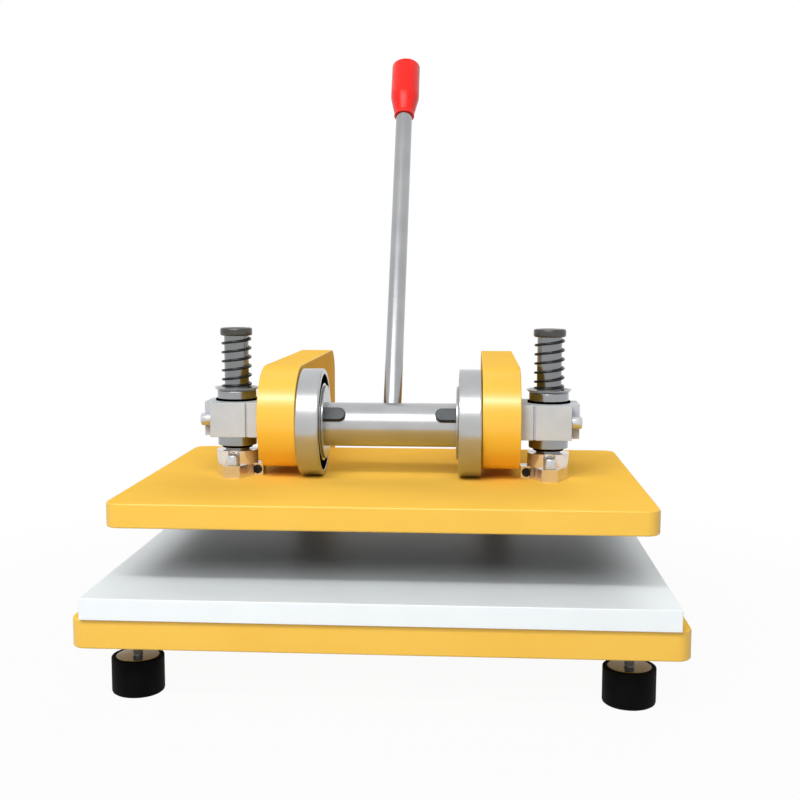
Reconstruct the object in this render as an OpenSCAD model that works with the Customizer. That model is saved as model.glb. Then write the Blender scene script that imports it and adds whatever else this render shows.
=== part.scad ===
// Manual die cutting press. Two C-shaped arms stand on the base plate and carry a cross shaft.
// A lever turns the shaft, two eccentric rollers push the press plate down on its guide rods,
// and springs on the rods lift it again. A loose white board on the base takes the cut.
// Millimetres, +Z up, front towards -Y, standing on Z = 0 with the footprint centred on the origin.

/* [Plates] */
// Width of the press plate
plate_w = 401.5; // [360:0.5:440]
// Depth of the press plate
plate_d = 290; // [250:1:330]
// Thickness of the press plate
plate_t = 18.5; // [16:0.5:26]
// Corner radius of the press plate
plate_r = 11; // [4:0.5:18]
// Distance of the plate's middle behind the shaft
plate_set_back = 10; // [0:1:20]
// Width of the base plate
base_w = 442; // [424:1:470]
// Thickness of the base plate
base_t = 22; // [20:0.5:30]
// Corner radius of the base plate
base_r = 11; // [4:0.5:18]
// Reach of the base in front of the press plate
base_lip = 19; // [10:1:30]
// Reach of the base behind the arms
base_tail = 8; // [4:1:20]
// Width of the cutting board
board_w = 425.5; // [380:0.5:440]
// Thickness of the cutting board
board_t = 16; // [10:0.5:24]
// Overhang of the cutting board in front of the base
board_overhang = 3; // [1:0.5:14]
// Space between the cutting board and the arms behind it
board_rear_gap = 4; // [1:0.5:10]
// Open height between the cutting board and the raised press plate
work_gap = 46; // [30:0.5:60]

/* [Feet] */
// Height of a rubber foot
foot_h = 27.5; // [18:0.5:32]
// Diameter of a rubber foot
foot_d = 39; // [36:0.5:48]
// Chamfer round the bottom of a rubber foot
foot_chamfer = 1.5; // [0.5:0.1:3]
// Distance of a foot's middle from the base plate's edges
foot_inset = 38.5; // [28:0.5:45]
// Diameter of the steel disc in a foot
disc_d = 32; // [24:0.5:33]
// Thickness of the steel disc in a foot
disc_t = 2.5; // [1.5:0.1:4]
// Diameter of a foot's stud
stud_d = 8; // [6:0.5:12]
// Bare length of stud between foot and base
stud_gap = 16; // [10:0.5:24]
// Depth of the stud in the base
stud_reach = 16; // [8:0.5:18]

/* [Arms] */
// Thickness of an arm
arm_t = 30.5; // [28:0.5:40]
// Space between the two arms
arm_span = 149; // [136:1:170]
// Height of an arm's upper limb
arm_h = 84; // [80:1:100]
// Space between the press plate and the arm above it
arm_clear = 7; // [5:0.5:9]
// Space between the press plate and the arm's post behind it
throat_clear = 8; // [4:0.5:14]
// Radius in the corner of the throat
throat_r = 10; // [4:0.5:11]
// Depth of an arm's post
post_d = 66; // [45:1:75]
// Radius of an arm's rear top corner
arm_back_r = 25; // [20:1:44]
// Solid wall left outside a shaft bush
blind_wall = 12; // [9:0.5:14]
// Diameter of an arm bolt
bolt_d = 10; // [8:0.5:12]
// Depth of an arm bolt in the post
bolt_reach = 26; // [18:1:40]
// Distance of an arm bolt from the post's front and rear
bolt_inset = 13; // [10:0.5:18]

/* [Shaft and rollers] */
// Diameter of the cross shaft
shaft_d = 36; // [32:0.5:38]
// Wall of a bronze shaft bush
shaft_bush_wall = 4; // [2.5:0.25:5]
// Space behind a shaft end
shaft_end_gap = 0.5; // [0.2:0.1:1]
// Throw of an eccentric
ecc = 2.5; // [1.5:0.1:3]
// Angle of an eccentric's high point in front of the vertical
ecc_lead = 32.5; // [25:0.5:40]
// Diameter of an eccentric in its bearing
ecc_d = 48; // [46:0.5:50]
// Diameter of an eccentric's shoulder
ecc_shoulder_d = 60; // [54:0.5:61]
// Thickness of an eccentric's shoulder, on the bearing's inner side
ecc_reach = 2; // [1:0.5:6]
// Width of a roller bearing
roller_w = 18.5; // [18:0.5:24]
// Space between a roller and the arm beside it
roller_side_gap = 0.5; // [0.3:0.1:2]
// Space between a roller and the raised press plate
roller_gap = 0.4; // [0.2:0.05:0.6]
// Share of the way from the eccentric to the outer race's shoulder that the inner race takes
inner_share = 0.516; // [0.4:0.004:0.6]
// Diameter of the outer race's shoulder
outer_land_d = 79; // [77:0.5:81]
// Wall of the outer race outside its shoulder
outer_wall = 4.5; // [4:0.25:7]
// Diameter of a bearing ball
ball_d = 11; // [10:0.5:11.5]
// Number of balls in a bearing
ball_count = 10; // [8:1:12]
// Thickness of a bearing seal
seal_t = 1.5; // [1:0.1:2]
// Depth of a bearing seal below the race's face
seal_recess = 0.8; // [0.4:0.1:1.5]
// Width of a key
key_w = 11; // [8:0.5:12]
// Height of a key
key_h = 8; // [6:0.5:9]
// Length of a key
key_l = 35; // [28:1:38]
// Part of a key's height that stands out of the shaft
key_proud = 3.8; // [2:0.1:3.8]
// Length of a key inside its eccentric
key_grip = 16; // [10:0.5:18]
// Angle of the keys above the level, towards the front
key_angle = 31; // [20:1:60]

/* [Lever] */
// Diameter of the lever rod
lever_d = 15; // [12:0.5:16]
// Angle by which the raised lever leans back
lever_lean = 31; // [10:1:35]
// Distance from the shaft's axis to the top of the grip
lever_reach = 376.5; // [300:0.5:420]
// Depth of the lever rod in the shaft
lever_seat = 24; // [16:0.5:28]
// Diameter of the grip
grip_d = 26.5; // [23:0.5:32]
// Length of the grip
grip_l = 59.5; // [55:0.5:90]
// Diameter of the grip's lower end
grip_neck_d = 19; // [18:0.5:22]
// Length of the grip's taper
grip_taper = 21; // [15:1:35]
// Rounding at the top of the grip
grip_round = 1.5; // [0.5:0.5:4]
// Depth of the lever rod in the grip
grip_bore = 46; // [30:1:50]

/* [Guides] */
// Diameter of a guide rod
rod_d = 20; // [18:0.5:22]
// Outer diameter of a guide bush
guide_bush_d = 32; // [30:0.5:35]
// Wall of a guide block beside its bush
block_wall = 7.75; // [6:0.25:10]
// Height of a guide block
block_h = 28; // [24:0.5:34]
// Space between the press plate and a guide block
block_lift = 34; // [31:0.5:38]
// Depth of the step at a guide block's outer corners
block_step = 7; // [3:0.5:8]
// Width of the groove down a guide block
block_groove_w = 1.8; // [1:0.1:4]
// Depth of the groove down a guide block
block_groove = 2.5; // [1:0.1:3]
// Distance of the groove from the arm
block_groove_x = 11; // [8:0.5:14]
// Reach of a guide bush above its block
bush_over = 8; // [5:0.5:14]
// Reach of a guide bush below its block
bush_under = 9; // [4:0.5:11]
// Outer diameter of a bush ring
ring_d = 35; // [34:0.5:40]
// Thickness of a bush ring
ring_t = 1.8; // [1:0.1:3]
// Outer diameter of a spring seat
seat_d = 37; // [34:0.5:42]
// Thickness of a spring seat
seat_t = 1.3; // [1:0.1:3]
// Height of a spring seat's flared lip
seat_lip = 1.5; // [0.5:0.1:3]
// Wall of a spring seat's lip
seat_wall = 1; // [0.8:0.1:1.5]
// Thickness of the spring wire
wire_d = 2.1; // [1.6:0.1:2.4]
// Length of a spring with the plate raised
spring_l = 44; // [38:0.5:50]
// Number of turns in a spring
spring_turns = 6.25; // [5:0.25:7]
// Diameter of a rod cap
cap_d = 26.25; // [24:0.25:30]
// Height of a rod cap
cap_h = 6.5; // [6:0.5:12]
// Depth of the rod in its cap
cap_seat = 3.5; // [2:0.5:4.5]
// Chamfer round the top of a rod cap
cap_chamfer = 1; // [0.5:0.1:1.4]

/* [Rod supports] */
// Length of a rod support
support_l = 50; // [48:0.5:60]
// Diameter of a rod support's hub
hub_d = 34; // [31:0.5:36]
// Height of a rod support's hub
hub_h = 21; // [16:0.5:22]
// Thickness of a rod support's flange
flange_t = 10; // [7:0.5:12]
// Width of the flange at its ends
flange_end_w = 13; // [12:0.5:18]
// Half the length of the flange's full width
flange_mid = 1; // [0.5:0.5:8]
// Distance of a flange screw from the flange's end
flange_screw_inset = 6.5; // [6:0.25:7]
// Height of the clamp ear
ear_h = 10; // [9:0.5:15]
// Depth of the clamp ear
ear_d = 14; // [13:0.5:20]
// Space between the clamp ear and the arm
ear_gap = 1.25; // [1:0.25:5]
// Wall between the clamp screw's head and the ear's end
ear_wall = 0.75; // [0.5:0.25:2]
// Width of the clamp slot
slot_w = 2; // [1:0.25:3]

/* [Screws] */
// Diameter of a flange or block screw
screw_d = 6; // [5:0.5:6]
// Diameter of a flange or block screw's head
screw_head_d = 10; // [8.5:0.5:10.5]
// Height of a flange or block screw's head
screw_head_h = 8.5; // [5:0.5:10]
// Depth of a flange screw in the press plate
screw_reach = 13; // [8:0.5:15]
// Diameter of a clamp screw
clamp_d = 4; // [3:0.5:4]
// Diameter of a clamp screw's head
clamp_head_d = 7; // [5.5:0.5:7]
// Height of a clamp screw's head
clamp_head_h = 4; // [3:0.5:5]
// Distance of a clamp screw's end from the ear's rear face
clamp_end_gap = 1; // [0:0.5:3]
// Diameter of an arm bolt's head
bolt_head_d = 16; // [13:0.5:18]
// Height of an arm bolt's head
bolt_head_h = 10; // [8:0.5:12]
// Depth of an arm bolt's head below the base's underside
bolt_sink = 1; // [0.5:0.5:3]

/* [Clearances] */
// Radial clearance of a running fit
run_clear = 0.05; // [0.02:0.01:0.1]
// Radial clearance round a screw
screw_clear = 0.3; // [0.1:0.05:0.6]
// Radial clearance of a ball in the inner race's groove
ball_clear = 0.3; // [0.2:0.05:0.5]
// Radial clearance of a spring seat round the rod
seat_clear = 0.4; // [0.3:0.05:0.8]
// Radial clearance of a spring round the rod
spring_clear = 1; // [0.9:0.05:1.5]
// Wall between a block screw and the bush
screw_wall = 1.5; // [1:0.25:3]
// Wall between the end of a block screw and the shaft bush
screw_end_wall = 2; // [1:0.5:4]
// Wall between a block screw and the block's front or rear
screw_edge = 3.5; // [3.2:0.1:6]
// Gap between the closed turns at a spring's foot
spring_end_gap = 0.6; // [0.55:0.05:1.2]

/* [Hidden] */
$fn = 96;

// Heights, from the floor up
base_z = foot_h + stud_gap;
base_top = base_z + base_t;
board_top = base_top + board_t;
plate_z = board_top + work_gap;
plate_top = plate_z + plate_t;
roller_d = outer_land_d + 2 * outer_wall;
roller_z = plate_top + roller_gap + roller_d / 2;
shaft_z = roller_z - ecc * cos(ecc_lead);
arm_z = plate_top + arm_clear;
arm_top = arm_z + arm_h;
arm_mid_z = arm_z + arm_h / 2;
block_z = plate_top + block_lift;
block_top = block_z + block_h;
bush_top = block_top + bush_over;
seat_top = bush_top + seat_t;
cap_z = seat_top + spring_l;

// Depths, measured from the shaft first and then centred on the footprint
front_from_shaft = plate_set_back - plate_d / 2 - base_lip;
post_from_shaft = plate_set_back + plate_d / 2 + throat_clear;
rear_from_shaft = post_from_shaft + post_d + base_tail;
shaft_y = -(front_from_shaft - board_overhang + rear_from_shaft) / 2;
roller_y = shaft_y - ecc * sin(ecc_lead);
base_front = shaft_y + front_from_shaft;
base_rear = shaft_y + rear_from_shaft;
plate_front = shaft_y + plate_set_back - plate_d / 2;
plate_rear = plate_front + plate_d;
post_front = shaft_y + post_from_shaft;
post_rear = post_front + post_d;
board_front = base_front - board_overhang;
board_rear = post_front - board_rear_gap;

// Places across the width, for the right-hand side
arm_in = arm_span / 2;
arm_out = arm_in + arm_t;
arm_mid_x = (arm_in + arm_out) / 2;
roller_out = arm_in - roller_side_gap;
roller_in = roller_out - roller_w;
ecc_in = roller_in - ecc_reach;
shaft_bush_d = shaft_d + 2 * shaft_bush_wall;
shaft_bush_l = arm_t - blind_wall - shaft_end_gap;
shaft_half = arm_in + shaft_bush_l;
key_out = roller_in + key_grip;
key_in = key_out - key_l;
block_w = guide_bush_d + 2 * block_wall;
block_out = arm_out + block_w;
block_lug_out = block_out - block_step;
rod_x = arm_out + block_w / 2;
block_screw_reach = blind_wall - screw_end_wall;
block_screw_y = guide_bush_d / 2 + screw_d / 2 + screw_wall;
block_d = 2 * (block_screw_y + screw_d / 2 + screw_edge);
block_step_y = block_screw_y - screw_head_d / 2 - screw_clear;
foot_x = base_w / 2 - foot_inset;
flange_screw_y = support_l / 2 - flange_screw_inset;
ear_x = arm_out + ear_gap;
clamp_x = ear_x + ear_wall + screw_clear + clamp_head_d / 2;
clamp_z = plate_top + ear_h / 2;

// Bearing, spring and edge sizes
inner_land_d = ecc_d + inner_share * (outer_land_d - ecc_d);
pitch_r = (inner_land_d + outer_land_d) / 4;
race_chamfer = 1;
ball_seat = 0.1;
spring_r = rod_d / 2 + spring_clear + wire_d / 2;
seat_flare = (seat_d - guide_bush_d) / (seat_t + seat_lip);
seat_floor_d = guide_bush_d + seat_flare * seat_t - 2 * seat_wall;
spring_sides = 6;
rings_per_turn = 8;
spring_rings = round(spring_turns * rings_per_turn);
spring_h = spring_l - wire_d;
end_pitch = wire_d + spring_end_gap;
mid_pitch = (spring_h - end_pitch) / (spring_turns - 1);
grip_edge = 1;
socket_depth_share = 0.5;
socket_width_share = 0.55;
cut = 1;

// Height of a spring's wire after a number of turns, with one closed turn at its foot
function spring_rise(turn) =
    turn < 1 ? end_pitch * turn : end_pitch + mid_pitch * (turn - 1);

// Middle of a spring's wire at one ring
function spring_mid(ring) =
    let (turn = spring_turns * ring / spring_rings)
    [spring_r * cos(360 * turn), spring_r * sin(360 * turn), wire_d / 2 + spring_rise(turn)];

// Corner of a spring's wire at one ring
function spring_corner(ring, side) =
    let (turn = spring_turns * ring / spring_rings)
    let (around = 90 + 360 * side / spring_sides)
    let (reach = spring_r + wire_d / 2 * cos(around))
    [reach * cos(360 * turn), reach * sin(360 * turn), spring_mid(ring)[2] + wire_d / 2 * sin(around)];

spring_gaps = [
    for (a = [0 : spring_rings])
    for (b = [a + rings_per_turn / 2 : spring_rings])
    norm(spring_mid(b) - spring_mid(a)) - wire_d
];
echo("least gap of a spring to itself", min(spring_gaps));

// Right-hand shape, mirrored for the left-hand side
module on_side(side) {
    if (side < 0) {
        mirror([1, 0, 0]) children();
    } else {
        children();
    }
}

// Both sides of the machine
module both_sides() {
    for (side = [-1, 1]) on_side(side) children();
}

// Front and rear of the shaft, with Y measured from it
module both_ends() {
    for (end = [0, 1]) translate([0, shaft_y, 0]) mirror([0, end, 0]) children();
}

// Box between two corners
module box(low, high) {
    translate(low) cube(high - low);
}

// Cylinder along X
module x_cylinder(x0, x1, d, y, z) {
    translate([x0, y, z]) rotate([0, 90, 0]) cylinder(d = d, h = x1 - x0);
}

// Flat plate with round corners
module slab(low, high, r) {
    box([low[0] + r, low[1], low[2]], [high[0] - r, high[1], high[2]]);
    box([low[0], low[1] + r, low[2]], [high[0], high[1] - r, high[2]]);
    for (x = [low[0] + r, high[0] - r])
        for (y = [low[1] + r, high[1] - r])
            translate([x, y, low[2]]) cylinder(r = r, h = high[2] - low[2]);
}

// Socket head screw with the underside of its head at the origin and its shank pointing down
module cap_screw(d, l, head_d, head_h) {
    difference() {
        cylinder(d = head_d, h = head_h);
        translate([0, 0, head_h * (1 - socket_depth_share)])
            cylinder(d = head_d * socket_width_share, h = head_h, $fn = 6);
    }
    translate([0, 0, -l]) cylinder(d = d, h = l + head_h * (1 - socket_depth_share) / 2);
}

// Ring-shaped groove for the balls, about the roller's axis
module ball_groove(clear) {
    translate([(roller_in + roller_out) / 2, roller_y, roller_z])
        rotate([0, 90, 0])
            rotate_extrude()
                translate([pitch_r, 0]) circle(d = ball_d + 2 * clear);
}

// Places of the four feet
module at_feet(z) {
    for (x = [-foot_x, foot_x])
        for (y = [base_front + foot_inset, base_rear - foot_inset])
            translate([x, y, z]) children();
}

// Places of the arm bolts under one arm
module at_arm_bolts(z) {
    for (y = [post_front + bolt_inset, post_rear - bolt_inset])
        translate([arm_mid_x, y, z]) children();
}

// Places of the block screws, at the block's lugs and pointing outwards
module at_block_screws(x) {
    for (y = [-block_screw_y, block_screw_y])
        translate([x, shaft_y + y, block_z + block_h / 2]) rotate([0, 90, 0]) children();
}

// Places of the flange screws of one rod support
module at_flange_screws(z) {
    for (y = [-flange_screw_y, flange_screw_y])
        translate([rod_x, shaft_y + y, z]) children();
}

module base_plate() {
    color("#F1BB3C") difference() {
        slab([-base_w / 2, base_front, base_z], [base_w / 2, base_rear, base_top], base_r);
        at_feet(base_z - cut) cylinder(d = stud_d, h = stud_reach + cut);
        both_sides() {
            at_arm_bolts(base_z - cut) cylinder(d = bolt_d + 2 * screw_clear, h = base_t + 2 * cut);
            at_arm_bolts(base_z - cut)
                cylinder(d = bolt_head_d + 2 * screw_clear, h = bolt_head_h + bolt_sink + cut);
        }
    }
}

module arm(side) {
    color("#F8C650") on_side(side) difference() {
        union() {
            x_cylinder(arm_in, arm_out, arm_h, shaft_y, arm_mid_z);
            box([arm_in, shaft_y, arm_z], [arm_out, post_rear, arm_top]);
            box([arm_in, post_front, base_top], [arm_out, post_rear, arm_z + cut]);
            difference() {
                box([arm_in, post_front - throat_r, arm_z - throat_r],
                    [arm_out, post_front + cut, arm_z + cut]);
                x_cylinder(arm_in - cut, arm_out + cut, 2 * throat_r,
                    post_front - throat_r, arm_z - throat_r);
            }
        }
        difference() {
            box([arm_in - cut, post_rear - arm_back_r, arm_top - arm_back_r],
                [arm_out + cut, post_rear + cut, arm_top + cut]);
            x_cylinder(arm_in - 2 * cut, arm_out + 2 * cut, 2 * arm_back_r,
                post_rear - arm_back_r, arm_top - arm_back_r);
        }
        x_cylinder(arm_in - cut, arm_out - blind_wall, shaft_bush_d, shaft_y, shaft_z);
        at_block_screws(arm_out - block_screw_reach) cylinder(d = screw_d, h = block_screw_reach + cut);
        at_arm_bolts(base_top - cut) cylinder(d = bolt_d, h = bolt_reach + cut);
    }
}

module arm_bolts() {
    color("#6B6D70") both_sides()
        at_arm_bolts(base_z + bolt_head_h + bolt_sink)
            rotate([180, 0, 0])
                cap_screw(bolt_d, base_t - bolt_head_h - bolt_sink + bolt_reach, bolt_head_d, bolt_head_h);
}

module rubber_feet() {
    color("#1C1C1D") at_feet(0) difference() {
        union() {
            cylinder(d1 = foot_d - 2 * foot_chamfer, d2 = foot_d, h = foot_chamfer);
            translate([0, 0, foot_chamfer]) cylinder(d = foot_d, h = foot_h - foot_chamfer);
        }
        translate([0, 0, foot_h - disc_t]) cylinder(d = disc_d, h = disc_t + cut);
    }
}

module foot_discs() {
    color("#B4B6B8") at_feet(foot_h - disc_t) cylinder(d = disc_d, h = disc_t);
}

module foot_studs() {
    color("#A9ABAD") at_feet(foot_h) cylinder(d = stud_d, h = stud_gap + stud_reach);
}

module cutting_board() {
    color("#EEF1F1") box([-board_w / 2, board_front, base_top], [board_w / 2, board_rear, board_top]);
}

module shaft_bush(side) {
    color("#B08A4A") on_side(side) difference() {
        x_cylinder(arm_in, shaft_half, shaft_bush_d, shaft_y, shaft_z);
        x_cylinder(arm_in - cut, shaft_half + cut, shaft_d + 2 * run_clear, shaft_y, shaft_z);
    }
}

// Right-hand key, with a round end at each side
module key_solid() {
    translate([0, shaft_y, shaft_z]) rotate([90 - key_angle, 0, 0])
        translate([0, 0, shaft_d / 2 + key_proud - key_h]) {
            box([key_in + key_w / 2, -key_w / 2, 0], [key_out - key_w / 2, key_w / 2, key_h]);
            for (x = [key_in + key_w / 2, key_out - key_w / 2])
                translate([x, 0, 0]) cylinder(d = key_w, h = key_h);
        }
}

// Lever axis, with Z along the lever from the shaft's axis
module along_lever() {
    translate([0, shaft_y, shaft_z]) rotate([-lever_lean, 0, 0]) children();
}

module lever_solid() {
    along_lever() translate([0, 0, shaft_d / 2 - lever_seat])
        cylinder(d = lever_d, h = lever_reach - grip_l + grip_bore - shaft_d / 2 + lever_seat);
}

module cross_shaft() {
    color("#A0A3A5") difference() {
        x_cylinder(-shaft_half, shaft_half, shaft_d, shaft_y, shaft_z);
        both_sides() key_solid();
        lever_solid();
    }
}

module key(side) {
    color("#5F6769") on_side(side) key_solid();
}

module eccentric(side) {
    color("#8E9193") on_side(side) difference() {
        union() {
            x_cylinder(ecc_in, roller_in, ecc_shoulder_d, roller_y, roller_z);
            x_cylinder(ecc_in, roller_out, ecc_d, roller_y, roller_z);
        }
        x_cylinder(ecc_in - cut, roller_out + cut, shaft_d, shaft_y, shaft_z);
        key_solid();
    }
}

module inner_race(side) {
    color("#B9BCBE") on_side(side) difference() {
        x_cylinder(roller_in, roller_out, inner_land_d, roller_y, roller_z);
        x_cylinder(roller_in - cut, roller_out + cut, ecc_d, roller_y, roller_z);
        ball_groove(ball_clear);
    }
}

module balls(side) {
    color("#D5D7D9") on_side(side)
        for (turn = [0 : ball_count - 1])
            translate([(roller_in + roller_out) / 2, roller_y, roller_z])
                rotate([360 * turn / ball_count, 0, 0])
                    translate([0, 0, pitch_r]) sphere(d = ball_d);
}

module outer_race(side) {
    color("#B4B7B9") on_side(side) difference() {
        translate([roller_in, roller_y, roller_z]) rotate([0, 90, 0]) rotate_extrude() polygon([
            [outer_land_d / 2, 0],
            [roller_d / 2 - race_chamfer, 0],
            [roller_d / 2, race_chamfer],
            [roller_d / 2, roller_w - race_chamfer],
            [roller_d / 2 - race_chamfer, roller_w],
            [outer_land_d / 2, roller_w]
        ]);
        ball_groove(ball_seat);
    }
}

module seals(side) {
    color("#1E1F21") on_side(side)
        for (x = [roller_in + seal_recess, roller_out - seal_recess - seal_t])
            difference() {
                x_cylinder(x, x + seal_t, outer_land_d, roller_y, roller_z);
                x_cylinder(x - cut, x + seal_t + cut, inner_land_d + 2 * run_clear, roller_y, roller_z);
            }
}

module lever_rod() {
    color("#A6A9AB") lever_solid();
}

module lever_grip() {
    color("#FA3C32") difference() {
        along_lever() translate([0, 0, lever_reach - grip_l]) rotate_extrude() polygon(concat(
            [[0, 0], [grip_neck_d / 2 - grip_edge, 0], [grip_neck_d / 2, grip_edge]],
            [[grip_d / 2, grip_taper]],
            [for (a = [0 : 15 : 90])
                [grip_d / 2 - grip_round * (1 - cos(a)), grip_l - grip_round * (1 - sin(a))]],
            [[0, grip_l]]
        ));
        lever_solid();
    }
}

module guide_block(side) {
    color("#CBCAC8") on_side(side) difference() {
        box([arm_out, shaft_y - block_d / 2, block_z], [block_out, shaft_y + block_d / 2, block_top]);
        both_ends() {
            box([block_lug_out, block_step_y, block_z - cut],
                [block_out + cut, block_d / 2 + cut, block_top + cut]);
            translate([arm_out + block_groove_x, 0, 0])
                box([-block_groove_w / 2, block_d / 2 - block_groove, block_z - cut],
                    [block_groove_w / 2, block_d / 2 + cut, block_top + cut]);
        }
        translate([rod_x, shaft_y, block_z - cut]) cylinder(d = guide_bush_d, h = block_h + 2 * cut);
        at_block_screws(arm_out - cut) cylinder(d = screw_d + 2 * screw_clear, h = block_w + 2 * cut);
    }
}

module block_screws() {
    color("#9DA0A2") both_sides()
        at_block_screws(block_lug_out)
            cap_screw(screw_d, block_lug_out - arm_out + block_screw_reach, screw_head_d, screw_head_h);
}

module guide_bush(side) {
    color("#8F9294") on_side(side) translate([rod_x, shaft_y, block_z - bush_under]) difference() {
        cylinder(d = guide_bush_d, h = bush_under + block_h + bush_over);
        translate([0, 0, -cut])
            cylinder(d = rod_d + 2 * run_clear, h = block_h + bush_over + bush_under + 2 * cut);
    }
}

module bush_ring(side) {
    color("#222325") on_side(side) translate([rod_x, shaft_y, block_top]) difference() {
        cylinder(d = ring_d, h = ring_t);
        translate([0, 0, -cut]) cylinder(d = guide_bush_d, h = ring_t + 2 * cut);
    }
}

module spring_seat(side) {
    color("#5C5E60") on_side(side) translate([rod_x, shaft_y, bush_top]) difference() {
        cylinder(d1 = guide_bush_d, d2 = seat_d, h = seat_t + seat_lip);
        translate([0, 0, -cut]) cylinder(d = rod_d + 2 * seat_clear, h = seat_t + 2 * cut);
        translate([0, 0, seat_t]) cylinder(d1 = seat_floor_d, d2 = seat_d - 2 * seat_wall, h = seat_lip);
        translate([0, 0, seat_t + seat_lip]) cylinder(d = seat_d - 2 * seat_wall, h = cut);
    }
}

// Round wire wound up the rod, closed at its foot
module spring(side) {
    last = spring_rings * spring_sides;
    points = [
        for (ring = [0 : spring_rings])
        for (corner = [0 : spring_sides - 1])
        spring_corner(ring, corner)
    ];
    skin = [
        for (ring = [0 : spring_rings - 1])
        for (corner = [0 : spring_sides - 1])
        for (half = [0, 1])
        let (a = ring * spring_sides + corner)
        let (b = ring * spring_sides + (corner + 1) % spring_sides)
        half == 0 ? [a, b, b + spring_sides] : [a, b + spring_sides, a + spring_sides]
    ];
    ends = [
        for (corner = [1 : spring_sides - 2])
        for (end = [0, 1])
        end == 0 ? [0, corner + 1, corner] : [last, last + corner, last + corner + 1]
    ];
    color("#3C3A38") translate([side * rod_x, shaft_y, seat_top])
        polyhedron(points = points, faces = concat(skin, ends));
}

module press_plate() {
    color("#F4BF45") difference() {
        slab([-plate_w / 2, plate_front, plate_z], [plate_w / 2, plate_rear, plate_top], plate_r);
        both_sides() at_flange_screws(plate_top - screw_reach) cylinder(d = screw_d, h = screw_reach + cut);
    }
}

module rod(side) {
    color("#A4A7A9") translate([side * rod_x, shaft_y, plate_top])
        cylinder(d = rod_d, h = cap_z + cap_seat - plate_top);
}

module rod_cap(side) {
    color("#35353A") translate([side * rod_x, shaft_y, cap_z]) difference() {
        union() {
            cylinder(d = cap_d, h = cap_h - cap_chamfer);
            translate([0, 0, cap_h - cap_chamfer])
                cylinder(d1 = cap_d, d2 = cap_d - 2 * cap_chamfer, h = cap_chamfer);
        }
        translate([0, 0, -cut]) cylinder(d = rod_d, h = cap_seat + cut);
    }
}

module rod_support(side) {
    color("#B9BBBD") on_side(side) difference() {
        union() {
            translate([rod_x, shaft_y, plate_top]) {
                cylinder(d = hub_d, h = hub_h);
                linear_extrude(flange_t) polygon([
                    for (end = [-1, 1])
                    for (p = [[-hub_d / 2, flange_mid], [-flange_end_w / 2, support_l / 2],
                              [flange_end_w / 2, support_l / 2], [hub_d / 2, flange_mid]])
                    [-end * p[0], -end * p[1]]
                ]);
            }
            box([ear_x, shaft_y - ear_d / 2, plate_top], [rod_x, shaft_y + ear_d / 2, plate_top + ear_h]);
        }
        translate([rod_x, shaft_y, plate_top - cut]) cylinder(d = rod_d, h = hub_h + 2 * cut);
        box([ear_x - cut, shaft_y - slot_w / 2, plate_top - cut],
            [rod_x, shaft_y + slot_w / 2, plate_top + hub_h + cut]);
        at_flange_screws(plate_top - cut) cylinder(d = screw_d + 2 * screw_clear, h = flange_t + 2 * cut);
        at_flange_screws(plate_top + flange_t) cylinder(d = screw_head_d + 2 * screw_clear, h = hub_h);
        translate([clamp_x, shaft_y + ear_d / 2 + cut, clamp_z]) rotate([90, 0, 0])
            cylinder(d = clamp_d, h = ear_d + 2 * cut);
        translate([clamp_x, shaft_y - ear_d / 2 + clamp_head_h, clamp_z]) rotate([90, 0, 0])
            cylinder(d = clamp_head_d + 2 * screw_clear, h = clamp_head_h + cut);
    }
}

module flange_screws() {
    color("#9DA0A2") both_sides()
        at_flange_screws(plate_top + flange_t)
            cap_screw(screw_d, flange_t + screw_reach, screw_head_d, screw_head_h);
}

module clamp_screws() {
    color("#2A2C2E") both_sides()
        translate([clamp_x, shaft_y - ear_d / 2 + clamp_head_h, clamp_z]) rotate([90, 0, 0])
            cap_screw(clamp_d, ear_d - clamp_head_h - clamp_end_gap, clamp_head_d, clamp_head_h);
}

base_plate();
arm(-1);  // left_arm
arm(1);  // right_arm
arm_bolts();
rubber_feet();
foot_discs();
foot_studs();
cutting_board();
shaft_bush(-1);  // left_shaft_bush
shaft_bush(1);  // right_shaft_bush
cross_shaft();
key(-1);  // left_key
key(1);  // right_key
eccentric(-1);  // left_eccentric
eccentric(1);  // right_eccentric
inner_race(-1);  // left_inner_race
inner_race(1);  // right_inner_race
balls(-1);  // left_balls
balls(1);  // right_balls
outer_race(-1);  // left_outer_race
outer_race(1);  // right_outer_race
seals(-1);  // left_seals
seals(1);  // right_seals
lever_rod();
lever_grip();
guide_block(-1);  // left_guide_block
guide_block(1);  // right_guide_block
block_screws();
guide_bush(-1);  // left_guide_bush
guide_bush(1);  // right_guide_bush
bush_ring(-1);  // left_bush_ring
bush_ring(1);  // right_bush_ring
spring_seat(-1);  // left_spring_seat
spring_seat(1);  // right_spring_seat
spring(-1);  // left_spring
spring(1);  // right_spring
press_plate();
rod(-1);  // left_rod
rod(1);  // right_rod
rod_cap(-1);  // left_rod_cap
rod_cap(1);  // right_rod_cap
rod_support(-1);  // left_rod_support
rod_support(1);  // right_rod_support
flange_screws();
clamp_screws();
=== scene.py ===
"""Looks of a manual die cutting press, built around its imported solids. Metres, +Z up, front towards -Y."""

import math

import bmesh
import bpy
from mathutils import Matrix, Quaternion, Vector


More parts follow.
